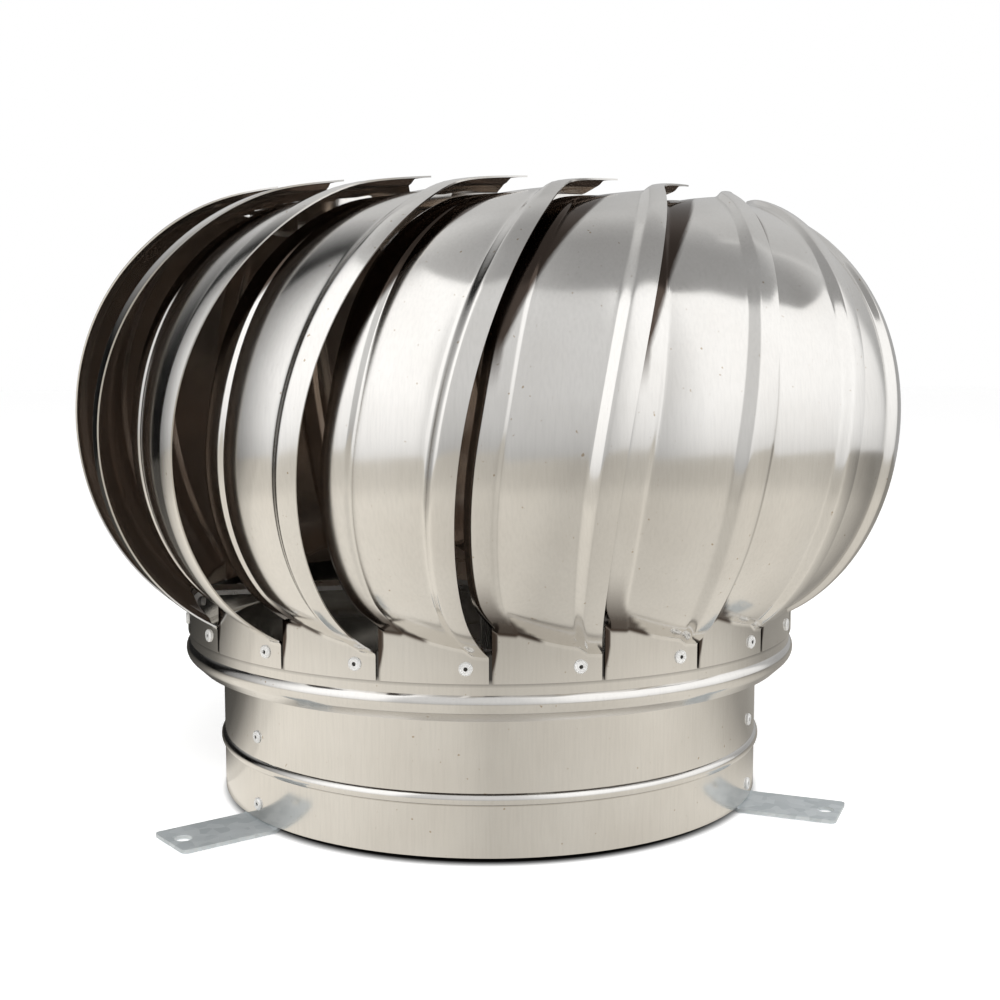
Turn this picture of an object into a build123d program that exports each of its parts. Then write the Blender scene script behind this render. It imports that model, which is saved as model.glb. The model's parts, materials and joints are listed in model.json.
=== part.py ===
"""Turbine roof vent: a fixed throat with roof brackets, and a bladed rotor that turns on a spindle.

Millimetres, +Z up the spindle, origin on the spindle axis in the roof plane under the brackets.
An azimuth is counted from -Y, anticlockwise from above. Pieces are drawn at azimuth 0 and turned.
"""
import math
import os

from build123d import *

# Sheet and fasteners
SHEET = 0.8
SEAT_GAP = 0.1
HOLE_CLEARANCE = 0.05
RIVET_SHANK_R = 1.6
RIVET_HEAD_R = 3.25
RIVET_HEAD_HEIGHT = 1.1
RIVET_HEAD_CHAMFER = 0.5
RIVET_TAIL_R = 2.4
RIVET_TAIL_LENGTH = 1.6
RIVET_MANDREL_R = 1.0
RIVET_MANDREL_DEPTH = 1.6
CUTTER_LENGTH = 1000.0

# Throat collar
THROAT_R = 150.0
THROAT_BOTTOM = 3.2
THROAT_TOP = 91.0
THROAT_BEAD_Z = 31.6
THROAT_BEAD_RISE = 2.0
THROAT_BEAD_HALF = 3.2

# Roof brackets
BRACKET_AZIMUTHS = (-60.0, 60.0, 180.0)
BRACKET_THICKNESS = 2.0
BRACKET_WIDTH = 34.0
BRACKET_BEND_R = 2.0
BRACKET_HEIGHT = 24.0
BRACKET_LENGTH = 50.0
BRACKET_CORNER_R = 3.0
BRACKET_RIVET_Z = 11.2
ROOF_HOLE_R = 4.5
ROOF_HOLE_OUTSET = 42.0

# Fixed support across the throat
ARM_THICKNESS = 3.0
ARM_WIDTH = 25.0
ARM_BEND_R = 3.0
ARM_TOP = 60.0
ARM_TAB_BOTTOM = 37.0
ARM_RIVET_Z = 46.5
ARM_INNER_R = 18.0
HUB_PLATE_R = 45.0
HUB_PLATE_THICKNESS = 3.0
HUB_RIVET_RADII = (26.0, 38.0)

# Spindle and its fasteners
SPINDLE_R = 5.0
SPINDLE_FIT = 0.02
SPINDLE_BOTTOM = 46.0
SPINDLE_PROUD = 1.3
SPINDLE_CHAMFER = 1.0
WASHER_R = 10.0
WASHER_THICKNESS = 2.0
NUT_ACROSS_FLATS = 17.0
NUT_HEIGHT = 8.0
STOP_COLLAR_R = 7.3
STOP_COLLAR_HEIGHT = 10.0
RETAINING_NUT_ACROSS_FLATS = 14.0
RETAINING_NUT_HEIGHT = 5.0

# Ball bearings
LOWER_BEARING_Z = 112.0
BEARING_WIDTH = 8.0
BEARING_OUTER_R = 13.0
BEARING_PITCH_R = 9.0
BALL_R = 2.0
BALL_COUNT = 7
GROOVE_CLEARANCE = 0.1
RACE_INNER_OUTSIDE_R = 7.5
RACE_OUTER_INSIDE_R = 10.5
CAGE_WALL = 1.2
CAGE_HEIGHT = 5.8
POCKET_CLEARANCE = 0.15

# Rotor ring
RING_GAP = 18.0
RING_TOP = 105.2
RING_BEAD_Z = 82.0
RING_BEAD_RISE = 2.0
RING_BEAD_HALF = 4.4
RING_LIP_DEPTH = 5.0
RING_LIP_Z = 72.9

# Blades: free edge on an ellipse in the meridian plane, section inset from it
BLADE_COUNT = 20
BLADE_PITCH = 360.0 / BLADE_COUNT
ROTOR_PHASE = 6.86
BLADE_CENTRE_INSET = 39.4
BLADE_CENTRE_Z = 208.2
BLADE_BULGE = 95.4
BLADE_CROWN_RISE = 6.4
BLADE_DEPTH_TO_HEIGHT = 0.5
BLADE_TOP_ANGLE = 82.5
BLADE_STATIONS = 15
BODY_ROWS = 7
BODY_CAMBER = 1.8
FREE_EDGE_TURN = -25.0
FREE_EDGE_OFFSET = -0.2
FREE_EDGE_LEAN = 0.00175
TIP_SWEEP_START = 70.0
TIP_SWEEP = 0.0045
TAB_SWEEP_START = -42.0
TAB_SWEEP = 0.0018
WIDENING = 0.2
WIDENING_SPAN = 60.0
NARROWING = 0.06
NARROWING_START = -46.0
NARROWING_SPAN = 13.0
CROWN_START = 45.0
CROWN_SPAN = 37.0
CROWN_FLATTENING = 0.15
CROWN_DEPTH = 3.0
CROWN_LIP_RAISE = 2.5

# Section of a blade: degrees across from the free edge, and depth in from the lip's ridge
TUCKED_EDGE_ACROSS = -17.3
TUCKED_EDGE_DEPTH = 17.2
BAND_EDGE_ACROSS = -16.5
BAND_EDGE_DEPTH = 15.1
BAND_STEP_ACROSS = -13.65
BAND_STEP_DEPTH = 12.0
VALLEY_ACROSS = -13.2
VALLEY_DEPTH = 14.8
STEP_FOOT_ACROSS = -3.7
STEP_FOOT_DEPTH = 4.6
LIP_RIDGE_ACROSS = -2.6
LIP_RIDGE_DEPTH = 0.0
FREE_EDGE_ACROSS = 0.0
FREE_EDGE_DEPTH = 0.4

# Blade tabs
TAB_BOTTOM = 91.9
TAB_RIVET_Z = 99.0
TOP_TAB_CREASE_OUTSET = 1.0
TOP_TAB_LENGTH = 26.0
TOP_TAB_RIVET_INSET = 14.0
TOP_TAB_TRIM = 1.0

# Rotor top plate and dust cap
TOP_PLATE_OVERHANG = 2.4
TOP_PLATE_Z = 316.2
TOP_PLATE_THICKNESS = 1.0
TOP_PLATE_RIM = 6.0
TOP_PLATE_HOLE_R = 12.0
TOP_PLATE_BEAD_R = 72.0
TOP_PLATE_BEAD_HALF = 4.0
TOP_PLATE_BEAD_RISE = 1.5
CAP_FLANGE_R = 28.0
CAP_DOME_R = 18.0
CAP_TOP_R = 10.8
CAP_HEIGHT = 8.0
CAP_RIVET_R = 23.0
CAP_RIVET_COUNT = 4

# Bearing housings and the rotor's lower arms
HOUSING_R = 17.0
HOUSING_SHOULDER = 2.0
HOUSING_SHOULDER_R = 10.6
HOUSING_FLANGE_R = 34.0
HOUSING_FLANGE_THICKNESS = 3.0
ROTOR_ARM_COUNT = 4
ROTOR_ARM_THICKNESS = 2.5
ROTOR_ARM_WIDTH = 20.0
ROTOR_ARM_BEND_R = 3.0
ROTOR_ARM_INNER_R = 18.0
ROTOR_ARM_TAB_BOTTOM = 90.5
ROTOR_ARM_RIVET_RADII = (22.5, 29.5)

RING_R = THROAT_R + RING_GAP
TAB_OUTER_R = RING_R + SEAT_GAP + SHEET
BLADE_CENTRE_R = RING_R - BLADE_CENTRE_INSET
BLADE_HALF_HEIGHT = TOP_PLATE_Z + BLADE_CROWN_RISE - BLADE_CENTRE_Z
TOP_PLATE_R = BLADE_CENTRE_R + TOP_PLATE_OVERHANG
TOP_TAB_CREASE_R = TOP_PLATE_R + TOP_TAB_CREASE_OUTSET
TOP_TAB_INNER_R = TOP_TAB_CREASE_R - TOP_TAB_LENGTH
TOP_TAB_RIVET_R = TOP_TAB_CREASE_R - TOP_TAB_RIVET_INSET
UPPER_BEARING_Z = TOP_PLATE_Z - TOP_PLATE_THICKNESS - HOUSING_SHOULDER - BEARING_WIDTH / 2.0
RETAINING_NUT_Z = UPPER_BEARING_Z + BEARING_WIDTH / 2.0
SPINDLE_TOP = RETAINING_NUT_Z + RETAINING_NUT_HEIGHT + SPINDLE_PROUD
BEARING_HEIGHTS = (LOWER_BEARING_Z, UPPER_BEARING_Z)
RIVET_HOLE_R = RIVET_SHANK_R + HOLE_CLEARANCE
TOP_TAB_Z = TOP_PLATE_Z + SEAT_GAP + SHEET
BLADE_AZIMUTHS = [ROTOR_PHASE + BLADE_PITCH * index for index in range(BLADE_COUNT)]
BLADES_PER_ARM = BLADE_COUNT // ROTOR_ARM_COUNT
SECTION = [
    (TUCKED_EDGE_ACROSS, TUCKED_EDGE_DEPTH),
    (BAND_EDGE_ACROSS, BAND_EDGE_DEPTH),
    (BAND_STEP_ACROSS, BAND_STEP_DEPTH),
    (VALLEY_ACROSS, VALLEY_DEPTH),
    (STEP_FOOT_ACROSS, STEP_FOOT_DEPTH),
    (LIP_RIDGE_ACROSS, LIP_RIDGE_DEPTH),
    (FREE_EDGE_ACROSS, FREE_EDGE_DEPTH),
]
VALLEY = SECTION.index((VALLEY_ACROSS, VALLEY_DEPTH))
STEP_FOOT = VALLEY + 1


def turned(shape, azimuth):
    """The shape turned from azimuth 0 to the given azimuth."""
    return shape.rotate(Axis.Z, azimuth)


def polar_point(radius, azimuth, height):
    """A point from its radius, azimuth and height."""
    angle = math.radians(azimuth - 90.0)
    return Vector(radius * math.cos(angle), radius * math.sin(angle), height)


def revolved(points):
    """A body turned about the spindle axis from corner points of radius and height."""
    profile = make_face(Plane.XZ * Polyline(*points, close=True))
    return revolve(profile, Axis.Z)


def turned_sheet(line):
    """A sheet wall turned about the spindle axis, its thickness inside the given outer line."""
    profile = make_face(Plane.XZ * offset(line, SHEET, side=Side.RIGHT))
    return revolve(profile, Axis.Z)


def smooth_step(value):
    """A smooth rise from 0 to 1 as the value goes from 0 to 1."""
    share = min(1.0, max(0.0, value))
    return share * share * (3.0 - 2.0 * share)


def flat_seat_radius(wall_r, width):
    """Distance from the axis of a flat leg whose two edges rest inside a round wall."""
    return math.sqrt(wall_r**2 - (width / 2.0) ** 2) - SEAT_GAP


def pop_rivet(grip):
    """A set blind rivet along Z, its head's underside at Z = 0 and its tail below the grip."""
    head = extrude(Circle(RIVET_HEAD_R), RIVET_HEAD_HEIGHT)
    head = chamfer(head.edges().group_by(Axis.Z)[-1], RIVET_HEAD_CHAMFER)
    shank = extrude(Circle(RIVET_SHANK_R), -grip)
    tail = Pos(0, 0, -grip) * extrude(Circle(RIVET_TAIL_R), -RIVET_TAIL_LENGTH)
    mouth = Pos(0, 0, RIVET_HEAD_HEIGHT) * extrude(Circle(RIVET_MANDREL_R), -RIVET_MANDREL_DEPTH)
    return head + shank + tail - mouth


def outward(shape, radius, height):
    """A shape drawn along +Z, pointed outward at azimuth 0 with its zero on the given radius."""
    return Pos(0, -radius, height) * Rot(90, 0, 0) * shape


def wall_hole(height):
    """A cutter for one rivet hole through a wall at azimuth 0."""
    return outward(Cylinder(RIVET_HOLE_R, 2.0 * THROAT_R / 3.0), THROAT_R, height)


def floor_hole(radius, hole_r):
    """A vertical cutter at the given radius and azimuth 0."""
    return Pos(0, -radius, 0) * Cylinder(hole_r, CUTTER_LENGTH)


def bent_bar(points, width, thickness, bend_r):
    """A flat bar bent once, from the outer line of its side view as radius and height."""
    line = FilletPolyline(*[(-radius, height) for radius, height in points], radius=bend_r)
    profile = make_face(Plane.YZ * offset(line, thickness, side=Side.LEFT))
    return extrude(profile, width / 2.0, both=True)


def hexagon_nut(across_flats, height, bottom):
    """A hexagon nut on the spindle."""
    section = RegularPolygon(across_flats / 2.0, 6, major_radius=False)
    section -= Circle(SPINDLE_R + SPINDLE_FIT)
    return Pos(0, 0, bottom) * extrude(section, height)


def spindle_ring(outer_r, height, bottom):
    """A plain ring on the spindle."""
    section = Circle(outer_r) - Circle(SPINDLE_R + SPINDLE_FIT)
    return Pos(0, 0, bottom) * extrude(section, height)


def throat_collar():
    """The fixed tube, with one rolled bead and the holes of its rivets."""
    bead_low = THROAT_BEAD_Z - THROAT_BEAD_HALF
    bead_high = THROAT_BEAD_Z + THROAT_BEAD_HALF
    upper = Line((THROAT_R, THROAT_TOP), (THROAT_R, bead_high))
    crown = (THROAT_R + THROAT_BEAD_RISE, THROAT_BEAD_Z)
    bead = ThreePointArc((THROAT_R, bead_high), crown, (THROAT_R, bead_low))
    lower = Line((THROAT_R, bead_low), (THROAT_R, THROAT_BOTTOM))
    tube = turned_sheet(upper + bead + lower)
    for azimuth in BRACKET_AZIMUTHS:
        tube -= turned(wall_hole(BRACKET_RIVET_Z), azimuth)
        tube -= turned(wall_hole(ARM_RIVET_Z), azimuth)
    return tube


def roof_bracket():
    """An angle bracket: one leg up inside the throat, one leg out on the roof with its bolt hole."""
    leg_r = flat_seat_radius(THROAT_R - SHEET, BRACKET_WIDTH)
    reach = THROAT_R + BRACKET_LENGTH
    line = [(leg_r, BRACKET_HEIGHT), (leg_r, BRACKET_THICKNESS), (reach, BRACKET_THICKNESS)]
    bracket = bent_bar(line, BRACKET_WIDTH, BRACKET_THICKNESS, BRACKET_BEND_R)
    ends = bracket.edges().filter_by(Axis.Z).sort_by(Axis.Y)[:2]
    bracket = fillet(ends, BRACKET_CORNER_R)
    bracket -= floor_hole(THROAT_R + ROOF_HOLE_OUTSET, ROOF_HOLE_R)
    return bracket - wall_hole(BRACKET_RIVET_Z)


def support_arm():
    """A bar from the hub plate to the throat wall, its outer end bent down as a tab."""
    tab_r = flat_seat_radius(THROAT_R - SHEET, ARM_WIDTH)
    line = [(ARM_INNER_R, ARM_TOP), (tab_r, ARM_TOP), (tab_r, ARM_TAB_BOTTOM)]
    arm = bent_bar(line, ARM_WIDTH, ARM_THICKNESS, ARM_THICKNESS + ARM_BEND_R)
    for radius in HUB_RIVET_RADII:
        arm -= floor_hole(radius, RIVET_HOLE_R)
    return arm - wall_hole(ARM_RIVET_Z)


def hub_plate():
    """The disc on the three arms that holds the spindle."""
    plate = Circle(HUB_PLATE_R) - Circle(SPINDLE_R + SPINDLE_FIT)
    for azimuth in BRACKET_AZIMUTHS:
        for radius in HUB_RIVET_RADII:
            centre = polar_point(radius, azimuth, 0)
            plate -= Pos(centre) * Circle(RIVET_HOLE_R)
    return Pos(0, 0, ARM_TOP) * extrude(plate, HUB_PLATE_THICKNESS)


def wall_rivets(azimuths, seat_r, inner_r, height):
    """Rivets set from outside through a wall and the leg behind it."""
    rivet = outward(pop_rivet(seat_r - inner_r), seat_r, height)
    return [turned(rivet, azimuth) for azimuth in azimuths]


def floor_rivets(azimuths, radii, top, grip):
    """Rivets set from above at the given radii."""
    rivet = pop_rivet(grip)
    return [turned(Pos(0, -radius, top) * rivet, azimuth) for azimuth in azimuths for radius in radii]


def spindle():
    """The fixed shaft, with chamfered ends."""
    shaft = Pos(0, 0, SPINDLE_BOTTOM) * extrude(Circle(SPINDLE_R), SPINDLE_TOP - SPINDLE_BOTTOM)
    return chamfer(shaft.edges().filter_by(GeomType.CIRCLE), SPINDLE_CHAMFER)


def bearing_race(inner_r, outer_r, height):
    """One race of a ball bearing, with the ball groove cut into it."""
    race = Pos(0, 0, height - BEARING_WIDTH / 2.0) * extrude(Circle(outer_r) - Circle(inner_r), BEARING_WIDTH)
    groove = Torus(BEARING_PITCH_R, BALL_R + GROOVE_CLEARANCE)
    return race - Pos(0, 0, height) * groove


def bearing_balls(height):
    """The ring of balls of one bearing."""
    ball = Pos(0, -BEARING_PITCH_R, height) * Sphere(BALL_R)
    return [turned(ball, 360.0 / BALL_COUNT * index) for index in range(BALL_COUNT)]


def bearing_cage(height):
    """The band that spaces the balls of one bearing."""
    band = Circle(BEARING_PITCH_R + CAGE_WALL / 2.0) - Circle(BEARING_PITCH_R - CAGE_WALL / 2.0)
    cage = Pos(0, 0, height - CAGE_HEIGHT / 2.0) * extrude(band, CAGE_HEIGHT)
    step = 360.0 / BALL_COUNT
    pocket = outward(Cylinder(BALL_R + POCKET_CLEARANCE, BEARING_PITCH_R), BEARING_PITCH_R, height)
    for index in range(BALL_COUNT):
        cage -= turned(pocket, step * index)
    return cage


def bearing_housing(height, rivet_azimuths, rivet_radii):
    """A flanged cup over one bearing, open below, its shoulder on the outer race."""
    race_bottom = height - BEARING_WIDTH / 2.0
    race_top = height + BEARING_WIDTH / 2.0
    top = race_top + HOUSING_SHOULDER
    flange_bottom = top - HOUSING_FLANGE_THICKNESS
    bore_r = BEARING_OUTER_R + SPINDLE_FIT
    cup = revolved(
        [
            (bore_r, race_bottom),
            (HOUSING_R, race_bottom),
            (HOUSING_R, flange_bottom),
            (HOUSING_FLANGE_R, flange_bottom),
            (HOUSING_FLANGE_R, top),
            (HOUSING_SHOULDER_R, top),
            (HOUSING_SHOULDER_R, race_top),
            (bore_r, race_top),
        ]
    )
    for azimuth in rivet_azimuths:
        for radius in rivet_radii:
            cup -= turned(floor_hole(radius, RIVET_HOLE_R), azimuth)
    return cup


def rotor_ring():
    """The ring that carries the blades: a wall, a rolled bead and a lip turned in over the throat."""
    bead_low = RING_BEAD_Z - RING_BEAD_HALF
    bead_high = RING_BEAD_Z + RING_BEAD_HALF
    wall = Line((RING_R, RING_TOP), (RING_R, bead_high))
    bead = ThreePointArc((RING_R, bead_high), (RING_R + RING_BEAD_RISE, RING_BEAD_Z), (RING_R, bead_low))
    lip = Line((RING_R, bead_low), (RING_R - RING_LIP_DEPTH, RING_LIP_Z))
    ring = turned_sheet(wall + bead + lip)
    for azimuth in BLADE_AZIMUTHS:
        ring -= turned(wall_hole(TAB_RIVET_Z), azimuth)
    return ring


def free_edge_azimuth(angle):
    """Azimuth of a blade's free edge, from its rivet, at an angle along the blade."""
    lean = FREE_EDGE_OFFSET + FREE_EDGE_LEAN * (angle - FREE_EDGE_TURN) ** 2
    lean += TIP_SWEEP * max(0.0, angle - TIP_SWEEP_START) ** 3
    return lean + TAB_SWEEP * max(0.0, TAB_SWEEP_START - angle) ** 2


def widening(angle):
    """How wide in degrees the blade is at an angle along it: wider near the top, narrower at its tab."""
    narrower = NARROWING * smooth_step((NARROWING_START - angle) / NARROWING_SPAN)
    return 1.0 + WIDENING * smooth_step(angle / WIDENING_SPAN) - narrower


def section_depth(across):
    """Depth of the blade's section, by degrees across it from the free edge."""
    index = sum(across > corner[0] for corner in SECTION[1:-1])
    start, end = SECTION[index], SECTION[index + 1]
    share = (across - start[0]) / (end[0] - start[0])
    depth = start[1] + (end[1] - start[1]) * share
    if VALLEY_ACROSS < across < STEP_FOOT_ACROSS:
        depth -= 4.0 * BODY_CAMBER * share * (1.0 - share)
    return depth


def crown_depth(depth, angle):
    """A section depth at an angle along the blade: near the top the body flattens and the lip stands up."""
    share = smooth_step((angle - CROWN_START) / CROWN_SPAN)
    if depth > CROWN_DEPTH:
        return depth + (CROWN_DEPTH - depth) * CROWN_FLATTENING * share
    return depth - CROWN_LIP_RAISE * share * (CROWN_DEPTH - depth) / CROWN_DEPTH


def blade_point(across, angle, inset):
    """A point of the blade's outer skin, or below it by the inset."""
    step = 0.25

    def outer(across, angle):
        depth = crown_depth(section_depth(across), angle)
        radius = BLADE_CENTRE_R + (BLADE_BULGE - depth) * math.cos(math.radians(angle))
        half_height = BLADE_HALF_HEIGHT - BLADE_DEPTH_TO_HEIGHT * depth
        height = BLADE_CENTRE_Z + half_height * math.sin(math.radians(angle))
        return polar_point(radius, free_edge_azimuth(angle) + across * widening(angle), height)

    crosswise = outer(across + step, angle) - outer(across - step, angle)
    lengthwise = outer(across, angle + step) - outer(across, angle - step)
    return outer(across, angle) - crosswise.cross(lengthwise).normalized() * inset


def blade_line(across, inset):
    """Points along the blade from its tab crease to its top end."""
    seat = (TAB_OUTER_R - BLADE_CENTRE_R) / (BLADE_BULGE - section_depth(across))
    low = -math.degrees(math.acos(seat))
    angles = [low + (BLADE_TOP_ANGLE - low) * index / (BLADE_STATIONS - 1) for index in range(BLADE_STATIONS)]
    return [blade_point(across, angle, inset) for angle in angles]


def point_azimuth(point):
    """Azimuth of a point."""
    return math.degrees(math.atan2(point.X, -point.Y))


def level_arc(radius, start, end, height):
    """A level arc about the spindle axis between two azimuths."""
    points = [polar_point(radius, azimuth, height) for azimuth in (start, (start + end) / 2.0, end)]
    return Edge.make_three_point_arc(*points)


def along(edge, start):
    """The edge, run from the end nearer the given point."""
    if (edge.position_at(0) - start).length < (edge.position_at(1) - start).length:
        return edge
    return edge.reversed()


def ruled(first, second):
    """A ruled face between two edges that run the same way."""
    return Face.make_surface_from_curves(first, second)


def blade_skin(inset):
    """Faces of one side of a blade, and the edges round them in order."""
    rows = []
    for index in range(BODY_ROWS):
        across = VALLEY_ACROSS + (STEP_FOOT_ACROSS - VALLEY_ACROSS) * index / (BODY_ROWS - 1)
        rows.append(blade_line(across, inset))
    body = Face.make_surface_from_array_of_points(rows, tol=0.005, min_deg=3, max_deg=3)
    middle_row = rows[BODY_ROWS // 2]
    lines = [Edge.make_spline(blade_line(across, inset)) for across, depth in SECTION]
    lines[VALLEY] = along(body.edges().sort_by_distance(rows[0][BLADE_STATIONS // 2])[0], rows[0][0])
    lines[STEP_FOOT] = along(body.edges().sort_by_distance(rows[-1][BLADE_STATIONS // 2])[0], rows[-1][0])
    body_low = along(body.edges().sort_by_distance(middle_row[0])[0], rows[0][0])
    body_high = along(body.edges().sort_by_distance(middle_row[-1])[0], rows[0][-1])
    strips = [ruled(first, second) for first, second in zip(lines, lines[1:])]
    strips[VALLEY] = body

    low_points = [line.position_at(0) for line in lines]
    high_points = [line.position_at(1) for line in lines]
    tab_creases = [Edge.make_line(start, end) for start, end in zip(low_points, low_points[1:])]
    tab_creases[VALLEY] = body_low
    tab_r = TAB_OUTER_R - inset
    azimuths = [point_azimuth(point) for point in low_points]
    tab_ends = [level_arc(tab_r, start, end, TAB_BOTTOM) for start, end in zip(azimuths, azimuths[1:])]
    faces = strips + [ruled(crease, end) for crease, end in zip(tab_creases, tab_ends)]

    top_start = point_azimuth(high_points[VALLEY]) + TOP_TAB_TRIM
    top_end = point_azimuth(high_points[STEP_FOOT]) - TOP_TAB_TRIM
    top_crease = level_arc(TOP_TAB_CREASE_R, top_start, top_end, TOP_TAB_Z - inset)
    top_inner = level_arc(TOP_TAB_INNER_R, top_start, top_end, TOP_TAB_Z - inset)
    faces += [ruled(body_high, top_crease), ruled(top_crease, top_inner)]

    rim = [lines[0], lines[-1], top_inner] + tab_ends
    top_edges = [Edge.make_line(start, end) for start, end in zip(high_points, high_points[1:])]
    rim += top_edges[:VALLEY] + top_edges[STEP_FOOT:]
    rim += [
        Edge.make_line(low_points[0], tab_ends[0].position_at(0)),
        Edge.make_line(low_points[-1], tab_ends[-1].position_at(1)),
        Edge.make_line(high_points[VALLEY], top_crease.position_at(0)),
        Edge.make_line(high_points[STEP_FOOT], top_crease.position_at(1)),
        Edge.make_line(top_crease.position_at(0), top_inner.position_at(0)),
        Edge.make_line(top_crease.position_at(1), top_inner.position_at(1)),
    ]
    return faces, rim


def top_tab_azimuth():
    """Azimuth of the upper rivet, from the lower one."""
    middle = (VALLEY_ACROSS + STEP_FOOT_ACROSS) / 2.0
    return free_edge_azimuth(BLADE_TOP_ANGLE) + middle * widening(BLADE_TOP_ANGLE)


def rotor_blade():
    """One pressed blade: tucked edge with its raised band, cambered body, stepped lip, a tab at each end."""
    outer_faces, outer_rim = blade_skin(0.0)
    inner_faces, inner_rim = blade_skin(SHEET)
    edges = [ruled(outer, inner) for outer, inner in zip(outer_rim, inner_rim)]
    blade = Solid(Shell(outer_faces + inner_faces + edges))
    blade -= wall_hole(TAB_RIVET_Z)
    return blade - turned(floor_hole(TOP_TAB_RIVET_R, RIVET_HOLE_R), top_tab_azimuth())


def top_plate():
    """The disc under the blades' upper tabs, with a stiffening bead and a rim turned down."""
    bead_start = TOP_PLATE_BEAD_R - TOP_PLATE_BEAD_HALF
    bead_end = TOP_PLATE_BEAD_R + TOP_PLATE_BEAD_HALF
    inner = Line((TOP_PLATE_HOLE_R, TOP_PLATE_Z), (bead_start, TOP_PLATE_Z))
    bead_top = (TOP_PLATE_BEAD_R, TOP_PLATE_Z + TOP_PLATE_BEAD_RISE)
    bead = ThreePointArc((bead_start, TOP_PLATE_Z), bead_top, (bead_end, TOP_PLATE_Z))
    outer = Line((bead_end, TOP_PLATE_Z), (TOP_PLATE_R, TOP_PLATE_Z))
    rim = Line((TOP_PLATE_R, TOP_PLATE_Z), (TOP_PLATE_R, TOP_PLATE_Z - TOP_PLATE_RIM))
    section = offset(inner + bead + outer + rim, TOP_PLATE_THICKNESS, side=Side.RIGHT)
    plate = revolve(make_face(Plane.XZ * section), Axis.Z)
    for azimuth in BLADE_AZIMUTHS:
        plate -= turned(floor_hole(TOP_TAB_RIVET_R, RIVET_HOLE_R), azimuth + top_tab_azimuth())
    for azimuth in CAP_RIVET_AZIMUTHS:
        plate -= turned(floor_hole(CAP_RIVET_R, RIVET_HOLE_R), azimuth)
    return plate


def dust_cap():
    """The pressed cap over the upper bearing."""
    flange_top = TOP_PLATE_Z + SHEET
    edge = Line((0.0, TOP_PLATE_Z + CAP_HEIGHT), (CAP_TOP_R, TOP_PLATE_Z + CAP_HEIGHT))
    shoulder = Line((CAP_TOP_R, TOP_PLATE_Z + CAP_HEIGHT), (CAP_DOME_R, flange_top))
    flange = Line((CAP_DOME_R, flange_top), (CAP_FLANGE_R, flange_top))
    section = make_face(Plane.XZ * offset(edge + shoulder + flange, SHEET, side=Side.RIGHT))
    cap = revolve(section, Axis.Z)
    for azimuth in CAP_RIVET_AZIMUTHS:
        cap -= turned(floor_hole(CAP_RIVET_R, RIVET_HOLE_R), azimuth)
    return cap


def rotor_arm():
    """A bar from the lower bearing housing to the rotor ring, its outer end bent down as a tab."""
    tab_r = flat_seat_radius(RING_R - SHEET, ROTOR_ARM_WIDTH)
    line = [(ROTOR_ARM_INNER_R, ROTOR_ARM_TOP), (tab_r, ROTOR_ARM_TOP), (tab_r, ROTOR_ARM_TAB_BOTTOM)]
    arm = bent_bar(line, ROTOR_ARM_WIDTH, ROTOR_ARM_THICKNESS, ROTOR_ARM_THICKNESS + ROTOR_ARM_BEND_R)
    for radius in ROTOR_ARM_RIVET_RADII:
        arm -= floor_hole(radius, RIVET_HOLE_R)
    return arm - wall_hole(TAB_RIVET_Z)


CAP_RIVET_AZIMUTHS = [ROTOR_PHASE + 360.0 / CAP_RIVET_COUNT * index for index in range(CAP_RIVET_COUNT)]
ARM_AZIMUTHS = BLADE_AZIMUTHS[::BLADES_PER_ARM]
LOWER_HOUSING_TOP = LOWER_BEARING_Z + BEARING_WIDTH / 2.0 + HOUSING_SHOULDER
ROTOR_ARM_TOP = LOWER_HOUSING_TOP - HOUSING_FLANGE_THICKNESS
ROTOR_ARM_FACE_R = flat_seat_radius(RING_R - SHEET, ROTOR_ARM_WIDTH) - ROTOR_ARM_THICKNESS

os.makedirs("parts", exist_ok=True)
nodes = {}

# Fixed base
nodes["throat_collar"] = throat_collar()
bracket = roof_bracket()
arm = support_arm()
for number, azimuth in enumerate(BRACKET_AZIMUTHS, start=1):
    nodes[f"roof_bracket_{number}"] = turned(bracket, azimuth)
    nodes[f"support_arm_{number}"] = turned(arm, azimuth)
bracket_face_r = flat_seat_radius(THROAT_R - SHEET, BRACKET_WIDTH) - BRACKET_THICKNESS
arm_face_r = flat_seat_radius(THROAT_R - SHEET, ARM_WIDTH) - ARM_THICKNESS
hub_grip = HUB_PLATE_THICKNESS + ARM_THICKNESS
hub_top = ARM_TOP + HUB_PLATE_THICKNESS
nodes["bracket_rivets"] = Compound(wall_rivets(BRACKET_AZIMUTHS, THROAT_R, bracket_face_r, BRACKET_RIVET_Z))
nodes["support_arm_rivets"] = Compound(wall_rivets(BRACKET_AZIMUTHS, THROAT_R, arm_face_r, ARM_RIVET_Z))
nodes["hub_plate"] = hub_plate()
nodes["hub_plate_rivets"] = Compound(floor_rivets(BRACKET_AZIMUTHS, HUB_RIVET_RADII, hub_top, hub_grip))
nodes["spindle"] = spindle()
lower_washer = ARM_TOP - WASHER_THICKNESS
nodes["spindle_washers"] = Compound(
    [spindle_ring(WASHER_R, WASHER_THICKNESS, bottom) for bottom in (lower_washer, hub_top)]
)
nodes["spindle_nuts"] = Compound(
    [
        hexagon_nut(NUT_ACROSS_FLATS, NUT_HEIGHT, bottom)
        for bottom in (lower_washer - NUT_HEIGHT, hub_top + WASHER_THICKNESS)
    ]
)
collar_bottom = LOWER_BEARING_Z - BEARING_WIDTH / 2.0 - STOP_COLLAR_HEIGHT
nodes["stop_collar"] = spindle_ring(STOP_COLLAR_R, STOP_COLLAR_HEIGHT, collar_bottom)
nodes["retaining_nut"] = hexagon_nut(RETAINING_NUT_ACROSS_FLATS, RETAINING_NUT_HEIGHT, RETAINING_NUT_Z)
inner_bore = SPINDLE_R + SPINDLE_FIT
nodes["bearing_inner_races"] = Compound(
    [bearing_race(inner_bore, RACE_INNER_OUTSIDE_R, height) for height in BEARING_HEIGHTS]
)

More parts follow.
